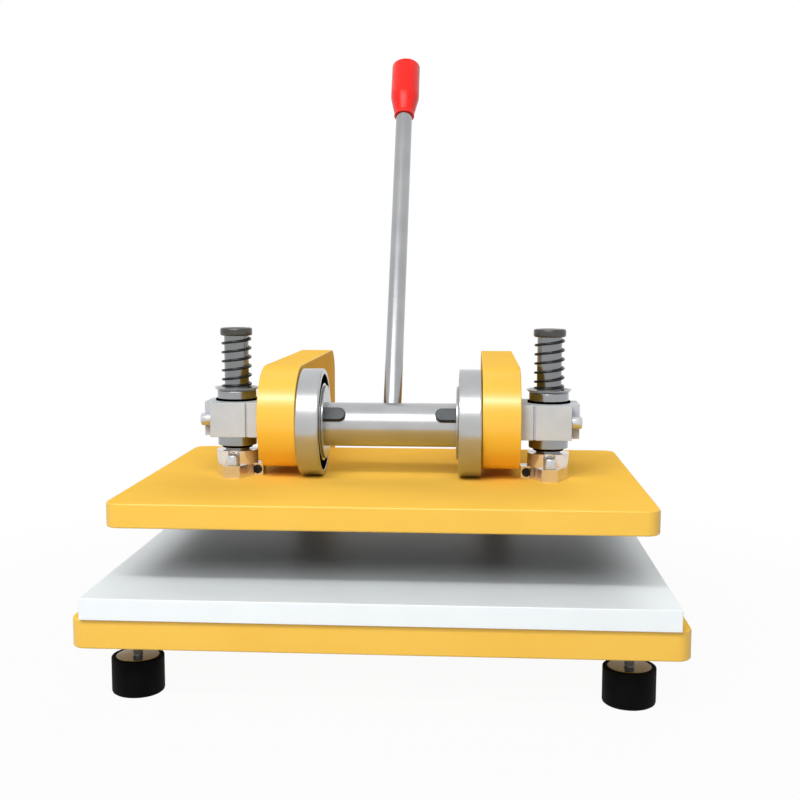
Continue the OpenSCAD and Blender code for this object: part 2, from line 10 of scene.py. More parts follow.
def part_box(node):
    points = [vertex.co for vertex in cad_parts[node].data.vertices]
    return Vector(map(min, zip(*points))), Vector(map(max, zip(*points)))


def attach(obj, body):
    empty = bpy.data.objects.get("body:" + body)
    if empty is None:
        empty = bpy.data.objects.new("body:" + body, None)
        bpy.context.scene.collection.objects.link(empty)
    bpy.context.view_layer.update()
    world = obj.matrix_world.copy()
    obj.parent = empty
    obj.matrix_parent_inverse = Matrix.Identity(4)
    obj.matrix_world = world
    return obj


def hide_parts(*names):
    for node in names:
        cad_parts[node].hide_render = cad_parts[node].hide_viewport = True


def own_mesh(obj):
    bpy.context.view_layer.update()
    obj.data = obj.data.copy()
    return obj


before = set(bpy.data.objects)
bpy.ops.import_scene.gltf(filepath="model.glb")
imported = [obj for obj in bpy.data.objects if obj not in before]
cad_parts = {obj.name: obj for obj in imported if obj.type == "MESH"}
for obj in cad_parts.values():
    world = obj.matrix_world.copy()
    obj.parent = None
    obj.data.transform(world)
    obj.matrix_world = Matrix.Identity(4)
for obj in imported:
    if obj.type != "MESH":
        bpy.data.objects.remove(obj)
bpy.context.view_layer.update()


# Camera
# A plain lens in front of the press, a little above the press plate and to the right.
# Its place is measured from the middle of the press plate's top, and its turns are in radians.
MM = 0.001
PICTURE_PX = 800
FOCAL_PX = 1146.7
SENSOR_MM = 36.0
YAW = -0.0633
PITCH = 0.1051
ROLL = 0.0019
STAND = Vector((66.3, -947.4, 161.9)) * MM


def corners(node):
    """Lowest and highest corner of a solid."""
    low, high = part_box(node)
    return Vector(low), Vector(high)


plate_low, plate_high = corners("press_plate")
plate_top = Vector(((plate_low.x + plate_high.x) / 2, (plate_low.y + plate_high.y) / 2, plate_high.z))
lens = bpy.data.cameras.new("camera")
lens.sensor_width = SENSOR_MM
lens.lens = SENSOR_MM * FOCAL_PX / PICTURE_PX
camera = bpy.data.objects.new("camera", lens)
camera.location = plate_top + STAND
looking = Vector((math.sin(YAW) * math.cos(PITCH), math.cos(YAW) * math.cos(PITCH), -math.sin(PITCH)))
upright_view = looking.to_track_quat("-Z", "Y")
camera.rotation_euler = (upright_view @ Quaternion((0, 0, 1), ROLL)).to_euler()
bpy.context.scene.collection.objects.link(camera)
bpy.context.scene.camera = camera
bpy.context.scene.view_settings.view_transform = "Standard"


# Studio
# White surroundings and a white floor that keeps the shadow, seen as white by the camera and by metal.
# A tall soft box with a hot strip in it stands in front on the left and is what metal reflects.
# A small lamp below it throws the shadows, and a wide weak one behind fills; gloss shows neither.
AMBIENT = 0.15
FLOOR_HALF = 6.0
FLOOR_WHITE = "#CACACA"
# The floor shows its shadow out to SHADOW_REACH and is plain white past SHADOW_END.
FLOOR_GLOW = 0.95
SHADOW_REACH = 0.3
SHADOW_END = 0.7
# Each lamp's name, place, width, height and brightness, and whether gloss shows it.
SOFT_BOXES = [
    ("tall_box", (-0.36, -1.51, 1.73), 2.2, 1.15, 2.5, True),
    ("hot_strip", (-0.30, -1.53, 1.73), 1.4, 0.13, 32.0, True),
    ("key_box", (-0.60, -1.83, 1.10), 0.6, 0.45, 11.0, False),
    ("fill_box", (0.5, 1.4, 1.6), 2.0, 1.0, 2.8, False),
]


def srgb(code):
    """Linear colour of a #RRGGBB code."""
    parts = [int(code[i:i + 2], 16) / 255 for i in (1, 3, 5)]
    return (*(p / 12.92 if p <= 0.04045 else ((p + 0.055) / 1.055) ** 2.4 for p in parts), 1.0)


def add(tree, kind, settings=None, links=None):
    """New node with its settings, on its sockets or on itself, and links to its sockets."""
    node = tree.nodes.new(kind)
    for key, value in (settings or {}).items():
        if isinstance(key, int) or key in node.inputs:
            node.inputs[key].default_value = value
        else:
            setattr(node, key, value)
    for socket, source in (links or {}).items():
        tree.links.new(source, node.inputs[socket])
    return node


def seen_directly(tree):
    """1 on the rays of the camera, of gloss and of glass."""
    rays = add(tree, "ShaderNodeLightPath").outputs
    either = add(tree, "ShaderNodeMath", {"operation": "ADD"},
                 {0: rays["Is Camera Ray"], 1: rays["Is Glossy Ray"]})
    return add(tree, "ShaderNodeMath", {"operation": "ADD", "use_clamp": True},
               {0: either.outputs[0], 1: rays["Is Transmission Ray"]}).outputs[0]


world = bpy.data.worlds.new("studio")
world.use_nodes = True
surround = world.node_tree
level = add(surround, "ShaderNodeMapRange", {"To Min": AMBIENT, "To Max": 1.0},
            {"Value": seen_directly(surround)})
surround.links.new(level.outputs["Result"], surround.nodes["Background"].inputs["Strength"])
surround.nodes["Background"].inputs["Color"].default_value = (1, 1, 1, 1)
bpy.context.scene.world = world

floor_finish = bpy.data.materials.new("white_floor")
floor_finish.use_nodes = True
ground = floor_finish.node_tree
matt = add(ground, "ShaderNodeBsdfDiffuse", {"Color": srgb(FLOOR_WHITE)})
glow = add(ground, "ShaderNodeEmission", {"Strength": 1.0})
floor_place = add(ground, "ShaderNodeTexCoord").outputs["Object"]
reach = add(ground, "ShaderNodeVectorMath", {"operation": "LENGTH"}, {0: floor_place}).outputs["Value"]
fade = add(ground, "ShaderNodeMapRange", {
    "interpolation_type": "SMOOTHSTEP", "From Min": SHADOW_REACH, "From Max": SHADOW_END,
    "To Min": FLOOR_GLOW, "To Max": 1.0}, {"Value": reach})
share = add(ground, "ShaderNodeMath", {"operation": "MULTIPLY"},
            {0: seen_directly(ground), 1: fade.outputs["Result"]})
both = add(ground, "ShaderNodeMixShader", {}, {0: share.outputs[0], 1: matt.outputs[0], 2: glow.outputs[0]})
ground.links.new(both.outputs[0], ground.nodes["Material Output"].inputs["Surface"])
floor_mesh = bpy.data.meshes.new("floor")
floor_mesh.from_pydata(
    [(x * FLOOR_HALF, y * FLOOR_HALF, 0) for x, y in ((-1, -1), (1, -1), (1, 1), (-1, 1))],
    [], [(0, 1, 2, 3)])
floor_mesh.materials.append(floor_finish)
floor = bpy.data.objects.new("floor", floor_mesh)
bpy.context.scene.collection.objects.link(floor)

for name, place, width, height, brightness, reflected in SOFT_BOXES:
    lamp = bpy.data.lights.new(name, "AREA")
    lamp.shape = "RECTANGLE"
    lamp.size = width
    lamp.size_y = height
    lamp.energy = brightness * math.pi * width * height
    box = bpy.data.objects.new(name, lamp)
    box.location = place
    box.rotation_euler = (plate_top - Vector(place)).to_track_quat("-Z", "Y").to_euler()
    box.visible_camera = False
    box.visible_glossy = reflected
    bpy.context.scene.collection.objects.link(box)


# Rubber feet
# Four moulded buffers of black natural rubber, turned up round a stainless disc that is bonded into the top.
# A threaded stud stands on each disc and is screwed up into the base plate.
FOOT_D = 39 * MM
FOOT_H = 27.5 * MM
# Inset and height of the points of the foot's lower edge.
FOOT_TOE = [(1.5 * MM, 0), (0.4 * MM, 0.8 * MM), (0, 2 * MM)]
FOOT_LIP = 1.1 * MM
FOOT_LIP_START = 15
FOOT_LIP_INSIDE = 0.5 * MM
DISC_D = 32 * MM
DISC_T = 2.5 * MM
DISC_CLEAR = 0.1 * MM
DISC_EDGE = 0.4 * MM
STUD_D = 8 * MM
STUD_L = 32 * MM
STUD_SIDES = 24
THREAD_PITCH = 1.25 * MM
THREAD_RIDGE = 1.2 * MM
# Share of the thread's ridge that stands out of the stud's core.
THREAD_PROUD = 0.45
THREAD_SHOWN = 16 * MM
THREAD_SIDES = 4
UP = (0, 0, 1)
# Colour sockets of a Mix node.
MIX_A, MIX_B, MIX_RESULT = 6, 7, 2
# Noise of a finish: its detail, the part of its range that is used, and the strength of its relief.
DRIFT_DETAIL = 3.0
DRIFT_LOW, DRIFT_HIGH = 0.35, 0.65
GRAIN_DETAIL = 2.0
GRAIN_LOW, GRAIN_HIGH = 0.3, 0.7
RELIEF = 0.5
# A lay scales the grain along each axis, so a small number draws it out into lines.
LAY_ALONG_X = (0.1, 1, 1)
# Points closer than MERGE become one, and edges that turn by more than SHARP aren't smoothed.
MERGE = 0.001 * MM
SLIVER = 0.0005 * MM
SHARP = math.radians(35)


def finish(name, tones, drift, rough, grain, depth, lay=(1, 1, 1), metallic=0.0, specular=0.5):
    """Material whose colour drifts between two tones over a length, with a grain that sets gloss and relief."""
    made = bpy.data.materials.new(name)
    made.use_nodes = True
    tree = made.node_tree
    shader = tree.nodes["Principled BSDF"]
    shader.inputs["Metallic"].default_value = metallic
    shader.inputs["Specular IOR Level"].default_value = specular
    place = add(tree, "ShaderNodeTexCoord").outputs["Object"]
    cloud = add(tree, "ShaderNodeTexNoise", {"Scale": 1 / drift, "Detail": DRIFT_DETAIL}, {"Vector": place})
    spread = add(tree, "ShaderNodeMapRange", {"From Min": DRIFT_LOW, "From Max": DRIFT_HIGH},
                 {"Value": cloud.outputs["Fac"]})
    tone = add(tree, "ShaderNodeMix", {"data_type": "RGBA", MIX_A: srgb(tones[0]), MIX_B: srgb(tones[1])},
               {0: spread.outputs["Result"]})
    along = add(tree, "ShaderNodeMapping", {"Scale": lay}, {"Vector": place})
    marks = add(tree, "ShaderNodeTexNoise", {"Scale": 1 / grain, "Detail": GRAIN_DETAIL},
                {"Vector": along.outputs["Vector"]})
    gloss = add(tree, "ShaderNodeMapRange",
                {"From Min": GRAIN_LOW, "From Max": GRAIN_HIGH, "To Min": rough[0], "To Max": rough[1]},
                {"Value": marks.outputs["Fac"]})
    relief = add(tree, "ShaderNodeBump", {"Strength": RELIEF, "Distance": depth},
                 {"Height": marks.outputs["Fac"]})
    tree.links.new(tone.outputs[MIX_RESULT], shader.inputs["Base Color"])
    tree.links.new(gloss.outputs["Result"], shader.inputs["Roughness"])
    tree.links.new(relief.outputs["Normal"], shader.inputs["Normal"])
    return made


def arc(r, h, radius, start, end, steps=6):
    """Rows of (radius, height) on an arc about (r, h), in degrees."""
    turns = (math.radians(start + (end - start) * s / steps) for s in range(steps + 1))
    return [(r + radius * math.cos(a), h + radius * math.sin(a)) for a in turns]


def turned(rows, steps=72):
    """Points and faces of rows of (radius, height) turned about Z; a radius may follow the angle."""
    angles = [math.tau * s / steps for s in range(steps)]
    points = []
    for r, h in rows:
        for a in angles:
            radius = r(a) if callable(r) else r
            points.append(Vector((radius * math.cos(a), radius * math.sin(a), h)))
    faces = [
        (i * steps + s, i * steps + (s + 1) % steps, (i + 1) * steps + (s + 1) % steps, (i + 1) * steps + s)
        for i in range(len(rows) - 1) for s in range(steps)
    ]
    return points, faces


def solid(name, points, faces, material, place=(0, 0, 0), facing=UP):
    """Closed object of points and faces, made upright at the origin, then turned and set in place."""
    turn = Vector(UP).rotation_difference(Vector(facing)).to_matrix()
    mesh = bpy.data.meshes.new(name)
    mesh.from_pydata([Vector(place) + turn @ Vector(p) for p in points], [], faces)
    build = bmesh.new()
    build.from_mesh(mesh)
    bmesh.ops.remove_doubles(build, verts=build.verts, dist=MERGE)
    bmesh.ops.dissolve_degenerate(build, edges=build.edges, dist=SLIVER)
    bmesh.ops.recalc_face_normals(build, faces=build.faces)
    for face in build.faces:
        face.smooth = True
    for edge in build.edges:
        edge.smooth = edge.calc_face_angle(0.0) < SHARP
    build.to_mesh(mesh)
    build.free()
    mesh.materials.append(material)
    made = bpy.data.objects.new(name, mesh)
    bpy.context.scene.collection.objects.link(made)
    return made


def mount(made, body, slot, *replaced):
    """Lets a piece ride on a body and hides the solids it stands for; its slot is not used."""
    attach(made, body)
    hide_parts(*replaced)


def grown(name, tree, sizes, mesh=None):
    """Plain mesh object that a node tree makes from its named inputs."""
    made = bpy.data.objects.new(name, mesh or bpy.data.meshes.new(name))
    bpy.context.scene.collection.objects.link(made)
    nodes = made.modifiers.new("nodes", "NODES")
    nodes.node_group = tree
    for socket in tree.interface.items_tree:
        if socket.in_out == "INPUT" and socket.name in sizes:
            nodes[socket.identifier] = sizes[socket.name]
    result = bpy.data.meshes.new_from_object(made.evaluated_get(bpy.context.evaluated_depsgraph_get()))
    made.modifiers.clear()
    made.data = result
    return made


def inputs_of(tree, **kinds):
    """Gives a node tree its named inputs and a geometry output, and returns the inputs' sockets."""
    for name, kind in kinds.items():
        tree.interface.new_socket(name=name, in_out="INPUT", socket_type=kind)
    tree.interface.new_socket(name="Geometry", in_out="OUTPUT", socket_type="NodeSocketGeometry")
    return add(tree, "NodeGroupInput").outputs


# A wire wound about Z: its first turn rises by Closed, and the others share what is left of Rise.
winding = bpy.data.node_groups.new("winding", "GeometryNodeTree")
wound = inputs_of(winding, Wire="NodeSocketFloat", Radius="NodeSocketFloat", Rise="NodeSocketFloat",
                  Turns="NodeSocketFloat", Closed="NodeSocketFloat", Rings="NodeSocketInt",
                  Sides="NodeSocketInt", Place="NodeSocketVector", Finish="NodeSocketMaterial")
count = add(winding, "ShaderNodeMath", {"operation": "MULTIPLY"}, {0: wound["Turns"], 1: wound["Rings"]})
line = add(winding, "GeometryNodeMeshLine", {}, {"Count": count.outputs[0]})
index = add(winding, "GeometryNodeInputIndex").outputs[0]
turn = add(winding, "ShaderNodeMath", {"operation": "DIVIDE"}, {0: index, 1: wound["Rings"]}).outputs[0]
angle = add(winding, "ShaderNodeMath", {"operation": "MULTIPLY", 1: math.tau}, {0: turn}).outputs[0]
swing = add(winding, "ShaderNodeMath", {"operation": "COSINE"}, {0: angle}).outputs[0]
sway = add(winding, "ShaderNodeMath", {"operation": "SINE"}, {0: angle}).outputs[0]
across = add(winding, "ShaderNodeMath", {"operation": "MULTIPLY"}, {0: swing, 1: wound["Radius"]}).outputs[0]
deep = add(winding, "ShaderNodeMath", {"operation": "MULTIPLY"}, {0: sway, 1: wound["Radius"]}).outputs[0]
first = add(winding, "ShaderNodeMath", {"operation": "MINIMUM", 1: 1.0}, {0: turn}).outputs[0]
foot_rise = add(winding, "ShaderNodeMath", {"operation": "MULTIPLY"},
                {0: first, 1: wound["Closed"]}).outputs[0]
others = add(winding, "ShaderNodeMath", {"operation": "SUBTRACT"}, {0: turn, 1: first}).outputs[0]
left_rise = add(winding, "ShaderNodeMath", {"operation": "SUBTRACT"}, {0: wound["Rise"], 1: wound["Closed"]})
left_turns = add(winding, "ShaderNodeMath", {"operation": "SUBTRACT", 1: 1.0}, {0: wound["Turns"]})
pitch = add(winding, "ShaderNodeMath", {"operation": "DIVIDE"},
            {0: left_rise.outputs[0], 1: left_turns.outputs[0]})
climb = add(winding, "ShaderNodeMath", {"operation": "MULTIPLY_ADD"},
            {0: others, 1: pitch.outputs[0], 2: foot_rise})
path = add(winding, "ShaderNodeCombineXYZ", {}, {"X": across, "Y": deep, "Z": climb.outputs[0]})
laid = add(winding, "GeometryNodeSetPosition", {},
           {"Geometry": line.outputs["Mesh"], "Position": path.outputs[0], "Offset": wound["Place"]})
route = add(winding, "GeometryNodeMeshToCurve", {}, {"Mesh": laid.outputs[0]})
wire_r = add(winding, "ShaderNodeMath", {"operation": "MULTIPLY", 1: 0.5}, {0: wound["Wire"]})
section = add(winding, "GeometryNodeCurvePrimitiveCircle", {},
              {"Resolution": wound["Sides"], "Radius": wire_r.outputs[0]})
tube = add(winding, "GeometryNodeCurveToMesh", {"Fill Caps": True},
           {"Curve": route.outputs[0], "Profile Curve": section.outputs[0]})
real_wire = add(winding, "GeometryNodeRealizeInstances", {}, {"Geometry": tube.outputs[0]})
coated_wire = add(winding, "GeometryNodeSetMaterial", {},
                  {"Geometry": real_wire.outputs[0], "Material": wound["Finish"]})
add(winding, "NodeGroupOutput", {}, {"Geometry": coated_wire.outputs[0]})

# Copies of a piece set out on points, each turned to the point's own facing.
set_out = bpy.data.node_groups.new("set_out", "GeometryNodeTree")
given = inputs_of(set_out, Points="NodeSocketGeometry", Piece="NodeSocketObject", Finish="NodeSocketMaterial")
sample = add(set_out, "GeometryNodeObjectInfo", {}, {"Object": given["Piece"]})
own_facing = add(set_out, "GeometryNodeInputNamedAttribute", {"data_type": "FLOAT_VECTOR", "Name": "facing"})
swung = add(set_out, "FunctionNodeAlignRotationToVector", {"axis": "Z"}, {"Vector": own_facing.outputs[0]})
copies = add(set_out, "GeometryNodeInstanceOnPoints", {}, {
    "Points": given["Points"], "Instance": sample.outputs["Geometry"], "Rotation": swung.outputs[0]})
real_copies = add(set_out, "GeometryNodeRealizeInstances", {}, {"Geometry": copies.outputs[0]})
coated_copies = add(set_out, "GeometryNodeSetMaterial", {},
                    {"Geometry": real_copies.outputs[0], "Material": given["Finish"]})
add(set_out, "NodeGroupOutput", {}, {"Geometry": coated_copies.outputs[0]})


def copies_of(name, sample_piece, spots, material):
    """One object with a copy of a piece on each spot, a place and a facing; the sample itself is removed."""
    points = bpy.data.meshes.new(name)
    points.from_pydata([place for place, facing in spots], [], [])
    ways = points.attributes.new("facing", "FLOAT_VECTOR", "POINT")
    ways.data.foreach_set("vector", [c for place, facing in spots for c in facing])
    made = grown(name, set_out, {"Piece": sample_piece, "Finish": material}, points)
    bpy.data.objects.remove(sample_piece)
    return made


def four_spots(node, inset, height, facing):
    """Spots in the four corners of a solid's box, set in from its sides, at one height."""
    low, high = corners(node)
    return [
        (Vector((x, y, height)), facing)
        for x in (low.x + inset, high.x - inset)
        for y in (low.y + inset, high.y - inset)
    ]


# Moulded natural rubber: near black and matt, with the mould's fine sandblast, drawn 0.6 mm coarse to show.
rubber = finish("moulded_rubber", ("#040405", "#09090A"), drift=18 * MM, rough=(0.6, 0.75), grain=0.6 * MM,
                depth=0.02 * MM, specular=0.06)
# Stainless sheet, bright rolled: almost a mirror, with a faint rolling lay along X.
bright_sheet = finish("rolled_stainless", ("#A9AAAB", "#B6B7B8"), drift=20 * MM, rough=(0.10, 0.17),
                      grain=1.5 * MM, depth=0.002 * MM, lay=LAY_ALONG_X, metallic=1.0)
# Rolled stud thread, oiled steel: darker grey with a soft shine.
stud_steel = finish("oiled_thread_steel", ("#6E6F70", "#7C7D7E"), drift=4 * MM, rough=(0.2, 0.26),
                    grain=0.8 * MM, depth=0.002 * MM, metallic=1.0)

foot_r = FOOT_D / 2
foot_spots = four_spots("rubber_feet", foot_r, 0, UP)
seat_h = FOOT_H - DISC_T
buffer_rows = [
    (0, 0), *((foot_r - inset, height) for inset, height in FOOT_TOE), (foot_r, FOOT_H - FOOT_LIP),
    *arc(foot_r - FOOT_LIP, FOOT_H - FOOT_LIP, FOOT_LIP, FOOT_LIP_START, 90),
    *arc(DISC_D / 2 + FOOT_LIP_INSIDE, FOOT_H - FOOT_LIP_INSIDE, FOOT_LIP_INSIDE, 90, 180),
    (DISC_D / 2, seat_h), (0, seat_h),
]
disc_r = DISC_D / 2 - DISC_CLEAR
disc_rows = [
    (0, seat_h), (disc_r, seat_h), (disc_r, FOOT_H - DISC_EDGE - DISC_CLEAR),
    *arc(disc_r - DISC_EDGE, FOOT_H - DISC_EDGE, DISC_EDGE, 0, 90), (0, FOOT_H),
]
core_r = STUD_D / 2 - THREAD_RIDGE * THREAD_PROUD
core_rows = [(0, FOOT_H), (core_r, FOOT_H), (core_r, FOOT_H + STUD_L), (0, FOOT_H + STUD_L)]
buffers = copies_of("rubber_buffers", solid("buffer", *turned(buffer_rows), rubber), foot_spots, rubber)
mount(buffers, "frame", "black_rubber", "rubber_feet")
discs = copies_of("buffer_discs", solid("disc", *turned(disc_rows), bright_sheet), foot_spots, bright_sheet)
mount(discs, "frame", "screw_steel", "foot_discs")
core = solid("core", *turned(core_rows, STUD_SIDES), stud_steel)
cores = copies_of("stud_cores", core, foot_spots, stud_steel)
mount(cores, "frame", "screw_steel", "foot_studs")
thread = grown("thread", winding, {
    "Wire": THREAD_RIDGE, "Radius": (STUD_D - THREAD_RIDGE) / 2, "Rise": THREAD_SHOWN - THREAD_RIDGE,
    "Turns": (THREAD_SHOWN - THREAD_RIDGE) / THREAD_PITCH, "Closed": THREAD_PITCH, "Rings": STUD_SIDES,
    "Sides": THREAD_SIDES, "Place": (0, 0, FOOT_H + THREAD_RIDGE / 2), "Finish": stud_steel})
threads = copies_of("stud_threads", thread, foot_spots, stud_steel)
mount(threads, "frame", "screw_steel", "foot_studs")


# Base plate
# A thick steel plate with its edges rounded over, powder coated in signal yellow.
# The feet's studs and the arms' bolts go into it from below.
PLATE_EDGE = 1.5 * MM
EDGE_STEPS = 3
EDGE_ANGLE = math.radians(40)
FLAT_ANGLE = math.radians(0.5)
# How squarely a face looks up or sideways where dust begins and is full, and what it adds to roughness.
DUST_START = 0.85
DUST_FULL = 0.98
DUST_ROUGH = 0.6


def dress(material, *names):
    """Gives solids their finish."""
    for name in names:
        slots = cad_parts[name].data.materials
        slots.clear()
        slots.append(material)


def ease(width, *names):
    """Rounds the edges of solids, after merging their points and joining their flat faces."""
    for name in names:
        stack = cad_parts[name].modifiers
        weld = stack.new("weld", "WELD")
        weld.merge_threshold = MERGE
        join = stack.new("flat", "DECIMATE")
        join.decimate_type = "DISSOLVE"
        join.angle_limit = FLAT_ANGLE
        bevel = stack.new("bevel", "BEVEL")
        bevel.width = width
        bevel.segments = EDGE_STEPS
        bevel.limit_method = "ANGLE"
        bevel.angle_limit = EDGE_ANGLE
        bevel.use_clamp_overlap = False
        normals = stack.new("normals", "WEIGHTED_NORMAL")
        normals.keep_sharp = False


# Gloss powder coat: an even, deep yellow with an orange peel of about 1.5 mm.
# It is dulled where fine dust lies on it and on the plates' rolled sides.
paint = finish("yellow_powder_coat", ("#F5C140", "#F8C546"), drift=60 * MM, rough=(0.275, 0.295),
               grain=1.5 * MM, depth=0.0007 * MM, specular=0.65)
coat_tree = paint.node_tree
coat_roughness = coat_tree.nodes["Principled BSDF"].inputs["Roughness"]
coat_way = add(coat_tree, "ShaderNodeTexCoord").outputs["Normal"]
coat_faces = add(coat_tree, "ShaderNodeSeparateXYZ", {}, {0: coat_way}).outputs
sideways = add(coat_tree, "ShaderNodeMath", {"operation": "ABSOLUTE"}, {0: coat_faces["X"]})
exposed = add(coat_tree, "ShaderNodeMath", {"operation": "MAXIMUM"},
              {0: sideways.outputs[0], 1: coat_faces["Z"]})
dusty = add(coat_tree, "ShaderNodeMapRange",
            {"From Min": DUST_START, "From Max": DUST_FULL, "To Max": DUST_ROUGH},
            {"Value": exposed.outputs[0]})
dulled = add(coat_tree, "ShaderNodeMath", {"operation": "ADD", "use_clamp": True},
             {0: coat_roughness.links[0].from_socket, 1: dusty.outputs["Result"]})
coat_tree.links.new(dulled.outputs[0], coat_roughness)
dress(paint, "base_plate")
ease(PLATE_EDGE, "base_plate")


# Arms
# Two C-shaped arms flame cut from thick steel plate, their edges broken, in the base's powder coat.
# Each stands on the base's rear on two black socket bolts from below.
SIDES = ("left", "right")
ARM_EDGE = 0.8 * MM
BOLT_D = 10 * MM
BOLT_L = 37 * MM
BOLT_HEAD_D = 16 * MM
BOLT_HEAD_H = 10 * MM
DOWN = (0, 0, -1)
# Shares of a screw head's diameter: half its socket's width, and its rounded edge.
SOCKET_HALF = 0.275
HEAD_EDGE = 0.05
# How far the head's shoulder lies below its top, as a share of that edge.
HEAD_SHOULDER = 0.6
# The knurl's grooves and half their depth, as a share of the head's radius.
KNURL_GROOVES = 24
KNURL_DEPTH = 0.012
HEAD_SIDES = 96


def pair(*names):
    """Names of the left and the right solid of each name."""
    return [f"{side}_{name}" for name in names for side in SIDES]


def cap_screws(name, d, length, head_d, head_h, spots, material):
    """Cap screws with their seats on spots: shank down, knurled head up, hexagon socket in its top."""
    edge = head_d * HEAD_EDGE
    sixth = math.pi / 3

    def hexagon(a):
        return head_d * SOCKET_HALF / math.cos((a + sixth / 2) % sixth - sixth / 2)

    def socket_mouth(a):
        return hexagon(a) + edge / 2

    def knurl(a):
        return head_d / 2 * (1 - KNURL_DEPTH * (1 + math.cos(KNURL_GROOVES * a)))

    rows = [
        (0, -length), (d / 2 - edge, -length), (d / 2, edge - length), (d / 2, 0), (head_d / 2 - edge, 0),
        (knurl, edge), (knurl, head_h - 2 * edge), (head_d / 2 - edge, head_h - HEAD_SHOULDER * edge),
        (head_d / 2 - 2 * edge, head_h), (socket_mouth, head_h), (hexagon, head_h - edge / 2),
        (hexagon, head_h / 2), (0, head_h / 2),
    ]
    return copies_of(name, solid("screw", *turned(rows, HEAD_SIDES), material), spots, material)


# Black oxide on alloy steel: a deep grey with a dull shine.
black_oxide = finish("black_oxide_steel", ("#232323", "#2D2D2D"), drift=5 * MM, rough=(0.36, 0.5),
                     grain=0.6 * MM, depth=0.004 * MM, metallic=0.7)
dress(paint, *pair("arm"))
ease(ARM_EDGE, *pair("arm"))
bolt_seat = corners("arm_bolts")[0].z + BOLT_HEAD_H
bolt_spots = four_spots("arm_bolts", BOLT_HEAD_D / 2, bolt_seat, DOWN)
bolts = cap_screws("arm_socket_bolts", BOLT_D, BOLT_L, BOLT_HEAD_D, BOLT_HEAD_H, bolt_spots, black_oxide)
mount(bolts, "frame", "dark_steel", "arm_bolts")


# Cross shaft
# A ground steel shaft that turns in a bronze bush in each arm's blind bore.
# A key with rounded edges, let into it beside each arm and square to the lever, drives a turned eccentric.
LEAN = math.radians(31)
KEY_TOP = (0, -math.cos(LEAN), math.sin(LEAN))
# Painted shade: black on the key's flanks, which lie in shade.
KEY_FLANK_SHADE = "#050506"
# Cosines between a face and the key's top: the grey top ends at the first, and from the second down the flanks
# are painted shade in black.
KEY_SHADE_START = 0.95
KEY_SHADE_FULL = 0.6
KEY_EDGE = 0.8 * MM
ECCENTRIC_EDGE = 0.5 * MM
LAY_ROUND_X = (1, 0.02, 0.02)


def tint(material, code, way, start, full):
    """Mixes a colour into a finish by the cosine between a face and a way: none at start, all of it at full."""
    tree = material.node_tree
    colour = tree.nodes["Principled BSDF"].inputs["Base Color"]
    faces = add(tree, "ShaderNodeTexCoord").outputs["Normal"]
    cosine = add(tree, "ShaderNodeVectorMath", {"operation": "DOT_PRODUCT", 1: way}, {0: faces})
    amount = add(tree, "ShaderNodeMapRange", {"From Min": start, "From Max": full},
                 {"Value": cosine.outputs["Value"]})
    mixed = add(tree, "ShaderNodeMix", {"data_type": "RGBA", MIX_B: srgb(code)},
                {0: amount.outputs["Result"], MIX_A: colour.links[0].from_socket})
    tree.links.new(mixed.outputs[MIX_RESULT], colour)


# Ground shaft: bright and even, with grinding lines round it, drawn 1 mm wide and faint so that they show.
ground_steel = finish("ground_steel", ("#AEB0B2", "#B6B8BA"), drift=30 * MM, rough=(0.25, 0.265),
                      grain=1 * MM, depth=0.0004 * MM, lay=LAY_ROUND_X, metallic=0.8)
# Key steel, blackened: blue grey with a low shine on its top, its flanks painted black as painted shade.
key_steel = finish("blackened_key_steel_shaded_flanks", ("#303537", "#383D3F"), drift=8 * MM, rough=(0.4, 0.5),
                   grain=0.8 * MM, depth=0.003 * MM, lay=LAY_ALONG_X, metallic=0.3)
# Paints the key's flanks black as painted shade.
tint(key_steel, KEY_FLANK_SHADE, KEY_TOP, KEY_SHADE_START, KEY_SHADE_FULL)
# Sintered bronze: brown gold and slightly porous.
bronze = finish("sintered_bronze", ("#A9824A", "#B8925A"), drift=6 * MM, rough=(0.32, 0.46),
                grain=0.7 * MM, depth=0.004 * MM, metallic=1.0)
dress(ground_steel, "cross_shaft", *pair("eccentric"))
dress(key_steel, *pair("key"))
dress(bronze, *pair("shaft_bush"))
ease(KEY_EDGE, *pair("key"))
ease(ECCENTRIC_EDGE, *pair("eccentric"))


# Roller bearings
# A sealed ball bearing on each eccentric, its hardened races ground and superfinished.
# A moulded nitrile seal is pressed into each side, a little below the races' faces.
RACE_EDGE = 0.4 * MM
SEAL_EDGE = 0.3 * MM
# Superfinished race: the brightest steel here, with only a trace of lines round it.
race_steel = finish("superfinished_race_steel", ("#B0B2B4", "#B8BABC"), drift=25 * MM, rough=(0.22, 0.27),
                    grain=1 * MM, depth=0.0004 * MM, lay=LAY_ROUND_X, metallic=0.75)
# Moulded nitrile: black and dead matt, smoother than the feet's rubber.
nitrile = finish("moulded_nitrile", ("#030303", "#060607"), drift=10 * MM, rough=(0.55, 0.65),
                 grain=0.6 * MM, depth=0.01 * MM, specular=0.0)
dress(race_steel, *pair("inner_race", "outer_race", "balls"))
dress(nitrile, *pair("seals"))
ease(RACE_EDGE, *pair("inner_race", "outer_race"))
ease(SEAL_EDGE, *pair("seals"))


# Lever
# A bright drawn steel rod screwed into the shaft, with a round grip of red soft vinyl pushed on its end.
# The grip tapers to a rolled lip at its foot.
LEVER_D = 15 * MM
LEVER_REACH = 376.5 * MM
GRIP_D = 26.5 * MM
GRIP_L = 59.5 * MM
GRIP_NECK_D = 19 * MM
GRIP_TAPER = 21 * MM
GRIP_BORE = 46 * MM
GRIP_MOUTH = 0.5 * MM
GRIP_LIP = 0.9 * MM
GRIP_LIP_END = 20
GRIP_LIP_STEPS = 5
GRIP_CROWN = 1.3 * MM
